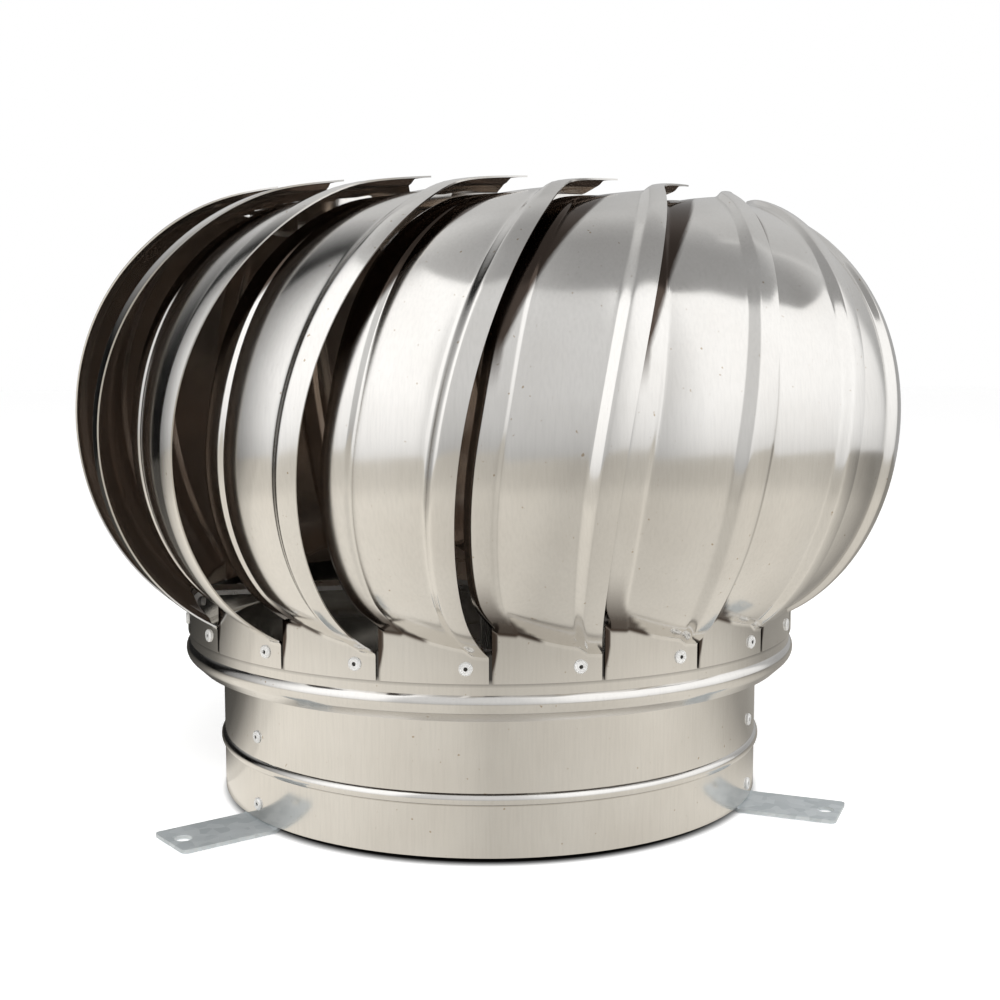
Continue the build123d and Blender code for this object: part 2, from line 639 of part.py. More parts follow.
# Balls and cages of both bearings
nodes["bearing_balls"] = Compound(sum([bearing_balls(height) for height in BEARING_HEIGHTS], []))
nodes["bearing_cages"] = Compound([bearing_cage(height) for height in BEARING_HEIGHTS])

# Rotor
nodes["bearing_outer_races"] = Compound(
    [bearing_race(RACE_OUTER_INSIDE_R, BEARING_OUTER_R, height) for height in BEARING_HEIGHTS]
)
nodes["lower_bearing_housing"] = bearing_housing(LOWER_BEARING_Z, ARM_AZIMUTHS, ROTOR_ARM_RIVET_RADII)
nodes["upper_bearing_housing"] = bearing_housing(UPPER_BEARING_Z, CAP_RIVET_AZIMUTHS, (CAP_RIVET_R,))
lower_grip = HOUSING_FLANGE_THICKNESS + ROTOR_ARM_THICKNESS
nodes["lower_housing_rivets"] = Compound(
    floor_rivets(ARM_AZIMUTHS, ROTOR_ARM_RIVET_RADII, LOWER_HOUSING_TOP, lower_grip)
)
lower_arm = rotor_arm()
for number, azimuth in enumerate(ARM_AZIMUTHS, start=1):
    nodes[f"rotor_arm_{number}"] = turned(lower_arm, azimuth)
nodes["rotor_ring"] = rotor_ring()
blade = rotor_blade()
for number, azimuth in enumerate(BLADE_AZIMUTHS, start=1):
    nodes[f"blade_{number:02d}"] = turned(blade, azimuth)
plain_azimuths = [azimuth for azimuth in BLADE_AZIMUTHS if azimuth not in ARM_AZIMUTHS]
ring_tail_r = flat_seat_radius(RING_R - SHEET, 2.0 * RIVET_TAIL_R)
lower_rivets = wall_rivets(plain_azimuths, TAB_OUTER_R, ring_tail_r, TAB_RIVET_Z)
lower_rivets += wall_rivets(ARM_AZIMUTHS, TAB_OUTER_R, ROTOR_ARM_FACE_R, TAB_RIVET_Z)
nodes["blade_lower_rivets"] = Compound(lower_rivets)
upper_azimuths = [azimuth + top_tab_azimuth() for azimuth in BLADE_AZIMUTHS]
upper_grip = SHEET + SEAT_GAP + TOP_PLATE_THICKNESS
upper_rivets = floor_rivets(upper_azimuths, (TOP_TAB_RIVET_R,), TOP_TAB_Z, upper_grip)
nodes["blade_upper_rivets"] = Compound(upper_rivets)
nodes["top_plate"] = top_plate()
nodes["dust_cap"] = dust_cap()
cap_grip = SHEET + TOP_PLATE_THICKNESS + HOUSING_FLANGE_THICKNESS
cap_top = TOP_PLATE_Z + SHEET
nodes["dust_cap_rivets"] = Compound(floor_rivets(CAP_RIVET_AZIMUTHS, (CAP_RIVET_R,), cap_top, cap_grip))

for name, shape in nodes.items():
    export_step(shape, f"parts/{name}.step")
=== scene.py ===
"""Looks of the turbine roof vent: pressed blades, sheet-metal finishes, studio and camera."""
import json
import math

import bpy
import numpy as np
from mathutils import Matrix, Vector, noise

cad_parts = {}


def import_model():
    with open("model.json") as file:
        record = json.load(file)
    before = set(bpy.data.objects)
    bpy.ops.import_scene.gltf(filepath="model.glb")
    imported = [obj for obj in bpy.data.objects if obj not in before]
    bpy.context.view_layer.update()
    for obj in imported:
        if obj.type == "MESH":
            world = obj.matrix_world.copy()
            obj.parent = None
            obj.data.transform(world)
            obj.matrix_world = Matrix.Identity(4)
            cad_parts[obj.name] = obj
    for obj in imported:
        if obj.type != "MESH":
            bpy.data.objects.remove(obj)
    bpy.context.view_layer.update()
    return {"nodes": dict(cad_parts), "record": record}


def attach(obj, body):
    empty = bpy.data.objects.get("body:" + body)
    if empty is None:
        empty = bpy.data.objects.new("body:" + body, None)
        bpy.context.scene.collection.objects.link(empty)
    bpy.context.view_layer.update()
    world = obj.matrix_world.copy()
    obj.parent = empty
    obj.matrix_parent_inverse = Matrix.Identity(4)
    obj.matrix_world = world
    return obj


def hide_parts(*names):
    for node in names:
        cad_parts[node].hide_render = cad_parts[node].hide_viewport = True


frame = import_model()
nodes = frame["nodes"]

MM = 0.001

# Blade form, in millimetres and degrees, from the part's source, with less camber
BLADE_COUNT = 20
BLADE_PITCH = 360.0 / BLADE_COUNT
ROTOR_PHASE = 6.86
SHEET = 0.8
TAB_OUTER_R = 168.9
TAB_BOTTOM = 91.9
BLADE_CENTRE_R = 128.6
BLADE_CENTRE_Z = 208.2
BLADE_BULGE = 95.4
BLADE_HALF_HEIGHT = 114.4
BLADE_DEPTH_TO_HEIGHT = 0.5
BLADE_TOP_ANGLE = 82.5
BODY_CAMBER = 0.7
FREE_EDGE_TURN = -25.0
FREE_EDGE_OFFSET = -0.2
FREE_EDGE_LEAN = 0.00175
TIP_SWEEP_START = 70.0
TIP_SWEEP = 0.0045
TAB_SWEEP_START = -42.0
TAB_SWEEP = 0.0018
WIDENING = 0.2
WIDENING_SPAN = 60.0
NARROWING = 0.06
NARROWING_START = -46.0
NARROWING_SPAN = 13.0
CROWN_START = 45.0
CROWN_SPAN = 37.0
CROWN_FLATTENING = 0.15
CROWN_DEPTH = 3.0
CROWN_LIP_RAISE = 2.5
TOP_TAB_CREASE_R = 132.0
TOP_TAB_INNER_R = 106.0
TOP_TAB_Z = 317.1
TOP_TAB_TRIM = 1.0

# Section corners of a blade, softer than the solid's: degrees across from the free edge, and depth in
SECTION_ACROSS = [-17.3, -16.5, -13.65, -13.2, -3.7, -2.6, 0.0]
SECTION_DEPTH = [17.2, 14.5, 13.5, 14.3, 4.6, 0.5, -0.3]
VALLEY = 3
STEP_FOOT = 4
LIP_RIDGE = 5
FOLD_ROUNDING = 0.16
LIP_CROWN = 0.2

# Mesh density, rounding and sheet unevenness
SECTION_SAMPLES = 1731
SECTION_POINTS = 60
FLAT_WEIGHT = 0.35
COLUMN_SAMPLES = 600
BLADE_ROWS = 64
TAB_ROW_SHARES = np.array([1.0, 0.75, 0.5, 0.25])
CREASE_ROWS = 9
CREASE_ROW = len(TAB_ROW_SHARES) + CREASE_ROWS // 2
CREASE_REACH = 2.4
CREASE_ROUNDING = 1.0
CREASE_SPREAD = 7
SHARP_ANGLE = 40.0
WAVE_LENGTH = 42.0
WAVE_HEIGHT = 0.07
WAVE_STEP = Vector((7.3, 3.1, 0.0))
CALM_HEIGHT = 25.0
CALM_SHARE = 0.3

# Painted shade in dark tucked strips: under the next lip near the top, in the fold above the lower tab, and
# beside the tab
STRIP_START = 20.0
STRIP_LEAD = 12.0
STRIP_FADE = 14.0
STRIP_ACROSS = -15.2
STRIP_SPREAD = 0.123
STRIP_BLUR = 0.6
FOLD_REACH = 34.0
FOLD_ACROSS = -14.3
FOLD_SPREAD = 4.7
FOLD_SPREAD_REACH = 7.0
FOLD_BLUR = 1.2
SLOT_SPREAD = 0.6
SLOT_REACH = 13.0
SLOT_LIMIT = 1.2
SLOT_BLUR = 0.3
FADE_HEIGHT = 2.0

# Rivets that show: their seats, and the broken-off mandrel in a head, its near-black tone painted shade for
# the hole
RIVET_Z = 99.0
THROAT_R = 150.0
THROAT_RIVET_AZIMUTHS = (-60.0, 60.0, 180.0)
THROAT_RIVET_HEIGHTS = (11.2, 46.5)
STUB_PROFILE = [(0.9, -0.4), (0.9, 0.6), (0.7, 0.8), (0.25, 0.88)]
STUB_STEP = 30.0

# Camera, from the photograph's perspective
CAMERA_PLACE = (-103.6, -798.0, 241.8)
CAMERA_HEADING = 7.809
CAMERA_PITCH = 5.88
CAMERA_LENS = 51.24
CAMERA_SENSOR = 36.0

# Studio: light levels, and sizes in metres
WALL_STRENGTH = 1.4
FLOOR_GLOW = 0.47
AMBIENT = 0.55
FLOOR_HALF = 9.0
FLOOR_HEIGHT = -0.0003
FLOOR_GREY = 0.86
SHADED_GREY = 0.03
TABLE_HEIGHT = 0.0004
TABLE_RADIUS = 1.61
ROOM_RADIUS = 1.6
REAR_RADIUS = 1.55
CEILING_RADIUS = 6.4
CEILING_HEIGHT = 3.0
LAMP_AIM = Vector((0.0, 0.0, 0.15))


def smooth_step(value):
    """A smooth rise from 0 to 1 as the value goes from 0 to 1."""
    share = np.clip(value, 0.0, 1.0)
    return share * share * (3.0 - 2.0 * share)


def rounded_section():
    """Places across a blade and depths there, with its folds rounded and more points at the folds."""
    dense = np.linspace(SECTION_ACROSS[0], SECTION_ACROSS[-1], SECTION_SAMPLES)
    step = dense[1] - dense[0]
    depth = np.interp(dense, SECTION_ACROSS, SECTION_DEPTH)
    valley, foot, ridge = SECTION_ACROSS[VALLEY], SECTION_ACROSS[STEP_FOOT], SECTION_ACROSS[LIP_RIDGE]
    body = np.clip((dense - valley) / (foot - valley), 0.0, 1.0)
    lip = np.clip((dense - ridge) / (SECTION_ACROSS[-1] - ridge), 0.0, 1.0)
    depth = depth - 4.0 * BODY_CAMBER * body * (1.0 - body) - 4.0 * LIP_CROWN * lip * (1.0 - lip)
    reach = int(3.0 * FOLD_ROUNDING / step)
    kernel = np.exp(-0.5 * (np.arange(-reach, reach + 1) * step / FOLD_ROUNDING) ** 2)
    padded = np.pad(depth, reach, mode="reflect", reflect_type="odd")
    depth = np.convolve(padded, kernel / kernel.sum(), mode="valid")
    bend = np.abs(np.gradient(np.gradient(depth, step), step))
    weight = np.cumsum(FLAT_WEIGHT + bend / bend.max())
    weight = (weight - weight[0]) / (weight[-1] - weight[0])
    across = np.interp(np.linspace(0.0, 1.0, SECTION_POINTS), weight, dense)
    return across, np.interp(across, dense, depth)


def polar(radius, azimuth, height):
    """Points from radii, azimuths counted from -Y, and heights."""
    angle = np.radians(azimuth - 90.0)
    return np.stack([radius * np.cos(angle), radius * np.sin(angle), height + 0.0 * angle], axis=-1)


def free_edge_azimuth(angle):
    """Azimuth of a blade's free edge from its lower rivet."""
    lean = FREE_EDGE_OFFSET + FREE_EDGE_LEAN * (angle - FREE_EDGE_TURN) ** 2
    lean = lean + TIP_SWEEP * np.maximum(0.0, angle - TIP_SWEEP_START) ** 3
    return lean + TAB_SWEEP * np.maximum(0.0, TAB_SWEEP_START - angle) ** 2


def widening(angle):
    """How wide in degrees a blade is at an angle along it: wider near the top, narrower at its tab."""
    narrower = NARROWING * smooth_step((NARROWING_START - angle) / NARROWING_SPAN)
    return 1.0 + WIDENING * smooth_step(angle / WIDENING_SPAN) - narrower


def blade_point(across, depth, angle):
    """Points of a blade's outer face: near the top its body flattens and its lip stands up."""
    share = smooth_step((angle - CROWN_START) / CROWN_SPAN)
    if depth > CROWN_DEPTH:
        depth = depth + (CROWN_DEPTH - depth) * CROWN_FLATTENING * share
    else:
        depth = depth - CROWN_LIP_RAISE * share * (CROWN_DEPTH - max(depth, 0.0)) / CROWN_DEPTH
    radius = BLADE_CENTRE_R + (BLADE_BULGE - depth) * np.cos(np.radians(angle))
    half_height = BLADE_HALF_HEIGHT - BLADE_DEPTH_TO_HEIGHT * depth
    height = BLADE_CENTRE_Z + half_height * np.sin(np.radians(angle))
    return polar(radius, free_edge_azimuth(angle) + across * widening(angle), height)


def blade_column(across, depth):
    """One line up a blade from its tab's lower end to its top, with the crease above the tab rounded."""
    low = -math.degrees(math.acos((TAB_OUTER_R - BLADE_CENTRE_R) / (BLADE_BULGE - depth)))
    angles = np.linspace(low, BLADE_TOP_ANGLE, COLUMN_SAMPLES)
    line = blade_point(across, depth, angles)
    run = np.concatenate([[0.0], np.cumsum(np.linalg.norm(np.diff(line, axis=0), axis=1))])
    tab_length = line[0, 2] - TAB_BOTTOM
    tab_end = np.array([line[0, 0], line[0, 1], TAB_BOTTOM])
    line = np.vstack([tab_end, line])
    run = np.concatenate([[-tab_length], run])
    tab_rows = -CREASE_REACH - (tab_length - CREASE_REACH) * TAB_ROW_SHARES
    crease_rows = np.linspace(-CREASE_REACH, CREASE_REACH, CREASE_ROWS)
    blade_rows = np.linspace(CREASE_REACH, run[-1], BLADE_ROWS)[1:]
    rows = np.concatenate([tab_rows, crease_rows, blade_rows])
    offsets = np.linspace(-1.0, 1.0, CREASE_SPREAD)[:, None]
    reach = CREASE_ROUNDING * np.clip(2.0 - np.abs(rows) / CREASE_REACH, 0.0, 1.0)
    spread = rows[None, :] + offsets * reach[None, :]
    points = [np.interp(spread, run, line[:, axis]).mean(axis=0) for axis in range(3)]
    return np.stack(points, axis=-1)


def blade_faces(columns, rows, first_tab, last_tab, tab_rows):
    """Faces of a blade's grid and of the upper tab that grows from part of its top row."""
    faces = []
    for column in range(columns - 1):
        for row in range(rows - 1):
            start = column * rows + row
            faces.append((start, start + rows, start + rows + 1, start + 1))
    base = columns * rows
    for column in range(first_tab, last_tab):
        here = [column * rows + rows - 1]
        there = [(column + 1) * rows + rows - 1]
        here += [base + (column - first_tab) * tab_rows + row for row in range(tab_rows)]
        there += [base + (column + 1 - first_tab) * tab_rows + row for row in range(tab_rows)]
        for row in range(tab_rows):
            faces.append((here[row], there[row], there[row + 1], here[row + 1]))
    return faces


def upper_tab(across, tops):
    """Lines of the upper tab, from a blade's top row in over the top plate."""
    wide = widening(BLADE_TOP_ANGLE)
    start, end = across[0] * wide + TOP_TAB_TRIM, across[-1] * wide - TOP_TAB_TRIM
    share = (across - across[0]) / (across[-1] - across[0])
    azimuth = free_edge_azimuth(BLADE_TOP_ANGLE) + start + (end - start) * share
    crease = polar(np.full_like(azimuth, TOP_TAB_CREASE_R), azimuth, TOP_TAB_Z)
    inner = polar(np.full_like(azimuth, TOP_TAB_INNER_R), azimuth, TOP_TAB_Z)
    rows = [tops + (crease - tops) * along for along in (0.3, 0.6, 0.85)]
    rows += [crease * 0.9 + tops * 0.05 + inner * 0.05]
    rows += [crease + (inner - crease) * along for along in (0.08, 0.2, 0.5, 1.0)]
    return np.stack(rows, axis=1)


def waved(points, seed):
    """The points with the faint unevenness of a pressed sheet."""
    out = points.copy()
    for index, point in enumerate(points):
        place = Vector(point) / WAVE_LENGTH + seed * WAVE_STEP
        radial = Vector((point[0], point[1], 0.0)).normalized()
        fade = 1.0 if point[2] > TAB_BOTTOM + CALM_HEIGHT else CALM_SHARE
        out[index] += np.array(radial) * (noise.noise(place) * WAVE_HEIGHT * fade)
    return out


def tucked_shade_share(across, depth, grid):
    """How far each point of a blade lies in its strips of painted shade, from 0 to 1."""
    height = grid[:, :, 2]
    half_height = BLADE_HALF_HEIGHT - BLADE_DEPTH_TO_HEIGHT * depth[:, None]
    angle = np.degrees(np.arcsin(np.clip((height - BLADE_CENTRE_Z) / half_height, -1.0, 1.0)))
    # Painted shade under the next blade's lip, widening towards the top.
    edge = STRIP_ACROSS + STRIP_SPREAD * np.maximum(0.0, angle - STRIP_START)
    upper = 1.0 - smooth_step((across[:, None] - edge) / STRIP_BLUR + 0.5)
    upper = upper * smooth_step((angle - STRIP_START + STRIP_LEAD) / STRIP_FADE)
    # Painted shade in the fold just above the lower tab.
    above = height - height[:, [CREASE_ROW]]
    spread = FOLD_ACROSS + FOLD_SPREAD * np.exp(-np.maximum(0.0, above) / FOLD_SPREAD_REACH)
    lower = 1.0 - smooth_step((across[:, None] - spread) / FOLD_BLUR + 0.5)
    lower = lower * smooth_step(above / FADE_HEIGHT + 1.0) * (1.0 - smooth_step(above / FOLD_REACH))
    # Painted shade along the tab's edge beside the slot, narrowing downward.
    taper = np.clip((height - TAB_BOTTOM) / SLOT_REACH, 0.0, SLOT_LIMIT)
    slot_edge = SECTION_ACROSS[0] + SLOT_SPREAD * taper
    slot = 1.0 - smooth_step((across[:, None] - slot_edge) / SLOT_BLUR + 0.5)
    slot = slot * (1.0 - smooth_step(above / FADE_HEIGHT + 0.5))
    return np.maximum(np.maximum(upper, lower), slot)


def blade_mesh(number, azimuth):
    """The sheet mesh of one blade, before its thickness is added."""
    across, depth = rounded_section()
    grid = np.stack([blade_column(a, d) for a, d in zip(across, depth)])
    columns, rows = grid.shape[:2]
    valley, foot = SECTION_ACROSS[VALLEY], SECTION_ACROSS[STEP_FOOT]
    in_tab = [index for index, a in enumerate(across) if valley <= a <= foot]
    first_tab, last_tab = in_tab[0], in_tab[-1]
    tab = upper_tab(across[first_tab:last_tab + 1], grid[first_tab:last_tab + 1, -1])
    points = np.vstack([grid.reshape(-1, 3), tab.reshape(-1, 3)])
    points = waved(points, number)
    turn = math.radians(azimuth)
    x = points[:, 0] * math.cos(turn) - points[:, 1] * math.sin(turn)
    y = points[:, 0] * math.sin(turn) + points[:, 1] * math.cos(turn)
    points = np.stack([x, y, points[:, 2]], axis=-1) * MM
    mesh = bpy.data.meshes.new(f"blade_sheet_{number:02d}")
    mesh.from_pydata(points.tolist(), [], blade_faces(columns, rows, first_tab, last_tab, tab.shape[1]))
    mesh.update()
    # This attribute carries the painted shade of the tucked strips into the blade's colour.
    tucked_shade = mesh.attributes.new("tucked_shade", "FLOAT", "POINT")
    shares = np.zeros(len(points), dtype=np.float32)
    shares[:columns * rows] = tucked_shade_share(across, depth, grid).ravel()
    tucked_shade.data.foreach_set("value", shares)
    return mesh


def with_thickness(mesh, name, outside, inside):
    """An object of the sheet, thickened inward, with smooth faces, sharp edges and a darker inside."""
    mesh.materials.append(outside)
    mesh.materials.append(inside)
    sheet = bpy.data.objects.new(name + "_sheet", mesh)
    bpy.context.scene.collection.objects.link(sheet)
    solidify = sheet.modifiers.new("thickness", "SOLIDIFY")
    solidify.thickness = SHEET * MM
    solidify.offset = -1.0
    solidify.material_offset = 1
    solid = bpy.data.meshes.new_from_object(sheet.evaluated_get(bpy.context.evaluated_depsgraph_get()))
    bpy.data.objects.remove(sheet)
    solid.name = name
    solid.shade_smooth()
    solid.set_sharp_from_angle(angle=math.radians(SHARP_ANGLE))
    piece = bpy.data.objects.new(name, solid)
    bpy.context.scene.collection.objects.link(piece)
    return piece


def rivet_stubs(name, body, places, material):
    """Mandrel stubs in the heads of rivets set outward at the given azimuths, seat radii and heights."""
    turns = np.radians(np.arange(0.0, 360.0, STUB_STEP))
    count = len(turns)
    last = len(STUB_PROFILE) - 1
    points, faces = [], []
    for azimuth, radius, height in places:
        base = len(points)
        out = polar(1.0, azimuth, 0.0)
        side = polar(1.0, azimuth + 90.0, 0.0)
        for stub_r, rise in STUB_PROFILE:
            for turn in turns:
                ring = side * math.cos(turn) + np.array([0.0, 0.0, 1.0]) * math.sin(turn)
                point = out * (radius + rise) + ring * stub_r + np.array([0.0, 0.0, height])
                points.append(point * MM)
        for level in range(last):
            for step in range(count):
                here = base + level * count + step
                after = base + level * count + (step + 1) % count
                faces.append((here, after, after + count, here + count))
        faces.append(tuple(base + last * count + step for step in range(count)))
        faces.append(tuple(base + step for step in reversed(range(count))))
    mesh = bpy.data.meshes.new(name)
    mesh.from_pydata([point.tolist() for point in points], [], faces)
    mesh.materials.append(material)
    piece = bpy.data.objects.new(name, mesh)
    bpy.context.scene.collection.objects.link(piece)
    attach(piece, body)


def add(tree, kind, **values):
    """A shader node with its settings, and its inputs by name."""
    node = tree.nodes.new(kind)
    for key, value in values.items():
        if hasattr(node, key):
            setattr(node, key, value)
        else:
            node.inputs[key.replace("_", " ")].default_value = value
    return node


def principled(name, metallic, colour, roughness):
    """A new material, with its tree and its shader."""
    material = bpy.data.materials.new(name)
    material.use_nodes = True
    tree = material.node_tree
    shader = tree.nodes["Principled BSDF"]
    shader.inputs["Metallic"].default_value = metallic
    shader.inputs["Base Color"].default_value = (*colour, 1.0)
    shader.inputs["Roughness"].default_value = roughness
    return material, tree, shader


def object_noise(tree, scale, detail, stretch=(1.0, 1.0, 1.0)):
    """Noise in the object's own space, per metre, drawn out along an axis by the stretch."""
    place = add(tree, "ShaderNodeTexCoord")
    mapping = add(tree, "ShaderNodeMapping", Scale=stretch)
    texture = add(tree, "ShaderNodeTexNoise", Scale=scale, Detail=detail)
    tree.links.new(place.outputs["Object"], mapping.inputs["Vector"])
    tree.links.new(mapping.outputs["Vector"], texture.inputs["Vector"])
    return texture.outputs["Fac"]


def ramp(tree, source, stops):
    """A colour ramp over the source, from (place, grey or colour) stops."""
    node = add(tree, "ShaderNodeValToRGB")
    elements = node.color_ramp.elements
    while len(elements) < len(stops):
        elements.new(0.5)
    for element, (place, colour) in zip(elements, stops):
        element.position = place
        element.color = (*colour, 1.0) if isinstance(colour, tuple) else (colour, colour, colour, 1.0)
    tree.links.new(source, node.inputs["Fac"])
    return node.outputs["Color"]


def multiplied(tree, first, second):
    """The product of two colours."""
    mix = add(tree, "ShaderNodeMix", data_type="RGBA", blend_type="MULTIPLY")
    mix.inputs["Factor"].default_value = 1.0
    tree.links.new(first, mix.inputs["A"])
    tree.links.new(second, mix.inputs["B"])
    return mix.outputs["Result"]


def bump(tree, shader, source, strength, distance):
    """Fine relief on the shader from the source."""
    node = add(tree, "ShaderNodeBump", Strength=strength, Distance=distance)
    tree.links.new(source, node.inputs["Height"])
    tree.links.new(node.outputs["Normal"], shader.inputs["Normal"])


def polished_steel(name, painted_shade_from=None):
    """Bright stainless sheet with faint rolling lines, smears, specks, and painted shade: dark tucked
    stretches, and above a given height.
    """
    material, tree, shader = principled(name, 1.0, (0.8, 0.78, 0.75), 0.1)
    smears = object_noise(tree, 26.0, 5.0)
    lines = object_noise(tree, 150.0, 3.0, (6.0, 6.0, 0.35))
    specks = object_noise(tree, 420.0, 1.0)
    tint = ramp(tree, smears, [(0.3, (0.77, 0.75, 0.72)), (0.7, (0.83, 0.815, 0.79))])
    grain = ramp(tree, lines, [(0.3, 0.965), (0.6, 1.0)])
    dirt = ramp(tree, specks, [(0.755, (1.0, 1.0, 1.0)), (0.81, (0.68, 0.6, 0.5))])
    shade = multiplied(tree, multiplied(tree, tint, grain), dirt)
    # Painted shade: the tucked strips darken the colour to a dark brown.
    tucked_shade = add(tree, "ShaderNodeAttribute", attribute_name="tucked_shade")
    tucked_painted_shade = ramp(tree, tucked_shade.outputs["Fac"], [(0.0, (1.0, 1.0, 1.0)), (1.0, (0.1, 0.078, 0.066))])
    shade = multiplied(tree, shade, tucked_painted_shade)
    # Painted shade: above the given height, where other parts cover the sheet, the colour drops to a tenth.
    if painted_shade_from is not None:
        place = add(tree, "ShaderNodeTexCoord")
        split = add(tree, "ShaderNodeSeparateXYZ")
        tree.links.new(place.outputs["Object"], split.inputs["Vector"])
        covered_painted_shade = ramp(tree, split.outputs["Z"], [(painted_shade_from, 1.0), (painted_shade_from + 0.001, 0.1)])
        shade = multiplied(tree, shade, covered_painted_shade)
    tree.links.new(shade, shader.inputs["Base Color"])
    gloss = ramp(tree, smears, [(0.25, 0.1), (0.5, 0.14), (0.8, 0.2)])
    tree.links.new(gloss, shader.inputs["Roughness"])
    bump(tree, shader, lines, 0.025, 0.0001)
    return material


def galvanised_steel():
    """Dull zinc coat with a faint mottled spangle."""
    material, tree, shader = principled("galvanised_coat", 0.45, (0.6, 0.64, 0.66), 0.5)
    place = add(tree, "ShaderNodeTexCoord")
    spangle = add(tree, "ShaderNodeTexVoronoi", Scale=160.0)
    tree.links.new(place.outputs["Object"], spangle.inputs["Vector"])
    cells = add(tree, "ShaderNodeSeparateColor")
    tree.links.new(spangle.outputs["Color"], cells.inputs["Color"])
    tint = ramp(tree, cells.outputs["Red"], [(0.0, (0.52, 0.565, 0.585)), (1.0, (0.66, 0.7, 0.72))])
    tree.links.new(tint, shader.inputs["Base Color"])
    cloud = object_noise(tree, 60.0, 4.0)
    gloss = ramp(tree, cloud, [(0.3, 0.34), (0.7, 0.5)])
    tree.links.new(gloss, shader.inputs["Roughness"])
    bump(tree, shader, object_noise(tree, 700.0, 3.0), 0.12, 0.0002)
    return material


def plain_metal(name, colour, roughness, grain, metallic=1.0):
    """A plain metal finish with slight clouding and grain."""
    material, tree, shader = principled(name, metallic, colour, roughness)
    cloud = object_noise(tree, grain, 4.0)
    dark = tuple(channel * 0.88 for channel in colour)
    tree.links.new(ramp(tree, cloud, [(0.3, dark), (0.7, colour)]), shader.inputs["Base Color"])
    gloss = ramp(tree, cloud, [(0.3, roughness * 0.8), (0.7, roughness * 1.3)])
    tree.links.new(gloss, shader.inputs["Roughness"])
    bump(tree, shader, object_noise(tree, grain * 8.0, 2.0), 0.03, 0.0001)
    return material


def dress_nodes(materials):
    """The CAD nodes that show as they are get their finish by material slot."""
    for entry in frame["record"]["subparts"]:
        piece = nodes[entry["node"]]
        for slot in piece.material_slots:
            slot.material = materials[entry["material_slot"]]


def glossy_only(piece):
    """A studio surface that shows only as a reflection."""
    piece.visible_camera = False
    piece.visible_diffuse = False
    piece.visible_shadow = False
    piece.visible_volume_scatter = False


def by_azimuth(tree, place, stops, colour=(1.0, 1.0, 1.0)):
    """A colour graded in brightness round the axis, from (azimuth, level) stops."""
    turn = add(tree, "ShaderNodeTexGradient", gradient_type="RADIAL")
    tree.links.new(place.outputs["Object"], turn.inputs["Vector"])
    shares = sorted((((azimuth + 90.0) % 360.0) / 360.0, level) for azimuth, level in stops)
    graded = [(share, tuple(level * channel for channel in colour)) for share, level in shares]
    return ramp(tree, turn.outputs["Fac"], graded)


def by_distance(tree, place, stops):
    """A brightness graded by distance from the object's origin, from (metres, level) stops up to 1 m."""
    distance = add(tree, "ShaderNodeVectorMath", operation="LENGTH")
    tree.links.new(place.outputs["Object"], distance.inputs[0])
    return ramp(tree, distance.outputs["Value"], stops)


def glow(piece, name, strength):
    """Makes the piece shine, and gives its material's tree, light and coordinates."""
    material = bpy.data.materials.new(name)
    material.use_nodes = True
    tree = material.node_tree
    tree.nodes.clear()
    light = add(tree, "ShaderNodeEmission", Strength=strength)
    output = add(tree, "ShaderNodeOutputMaterial")
    tree.links.new(light.outputs["Emission"], output.inputs["Surface"])
    piece.data.materials.append(material)
    glossy_only(piece)
    return tree, light, add(tree, "ShaderNodeTexCoord")


def wall(name, azimuths, tops, radius, height_stops, azimuth_stops):
    """An upright curved studio wall round the object, its brightness graded by height and by azimuth."""
    mesh = bpy.data.meshes.new(name)
    count = len(azimuths)
    low = polar(np.full(count, radius), azimuths, 0.0)
    high = polar(np.full(count, radius), azimuths, tops)
    faces = [(i, i + 1, count + i + 1, count + i) for i in range(count - 1)]
    mesh.from_pydata(np.vstack([low, high]).tolist(), [], faces)
    piece = bpy.data.objects.new(name, mesh)
    bpy.context.scene.collection.objects.link(piece)
    tree, light, place = glow(piece, name, WALL_STRENGTH)
    split = add(tree, "ShaderNodeSeparateXYZ")
    tree.links.new(place.outputs["Object"], split.inputs["Vector"])
    by_height = ramp(tree, split.outputs["Z"], height_stops)
    by_turn = by_azimuth(tree, place, azimuth_stops)
    tree.links.new(multiplied(tree, by_height, by_turn), light.inputs["Color"])


def level_disc(name, radius, height):
    """A level disc round the axis."""
    mesh = bpy.data.meshes.new(name)
    azimuths = np.arange(0.0, 360.0, 5.0)
    rim = polar(np.full(len(azimuths), radius), azimuths, height)
    mesh.from_pydata(rim.tolist(), [], [range(len(azimuths))])
    piece = bpy.data.objects.new(name, mesh)
    bpy.context.scene.collection.objects.link(piece)
    return piece


def ground(name, radius, height, colour, azimuth_stops, radius_stops):
    """A studio ground, graded by azimuth and by radius."""
    tree, light, place = glow(level_disc(name, radius, height), name, 1.0)
    by_turn = by_azimuth(tree, place, azimuth_stops, colour)
    tree.links.new(multiplied(tree, by_turn, by_distance(tree, place, radius_stops)), light.inputs["Color"])


def ceiling(radius, height, side_stops, depth_stops):
    """A studio ceiling, graded from left to right and from front to back."""
    tree, light, place = glow(level_disc("ceiling", radius, height), "ceiling", 1.0)
    split = add(tree, "ShaderNodeSeparateXYZ")
    tree.links.new(place.outputs["Generated"], split.inputs["Vector"])
    by_side = ramp(tree, split.outputs["X"], side_stops)
    by_depth = ramp(tree, split.outputs["Y"], depth_stops)
    tree.links.new(multiplied(tree, by_side, by_depth), light.inputs["Color"])


def backdrop_ray(tree):
    """1 where the camera sees a surface, straight, by reflection or through glass, and 0 elsewhere."""
    path = add(tree, "ShaderNodeLightPath")
    seen = path.outputs["Is Camera Ray"]
    for ray in ("Is Glossy Ray", "Is Transmission Ray"):
        either = add(tree, "ShaderNodeMath", operation="MAXIMUM")
        tree.links.new(seen, either.inputs[0])
        tree.links.new(path.outputs[ray], either.inputs[1])
        seen = either.outputs["Value"]
    return seen


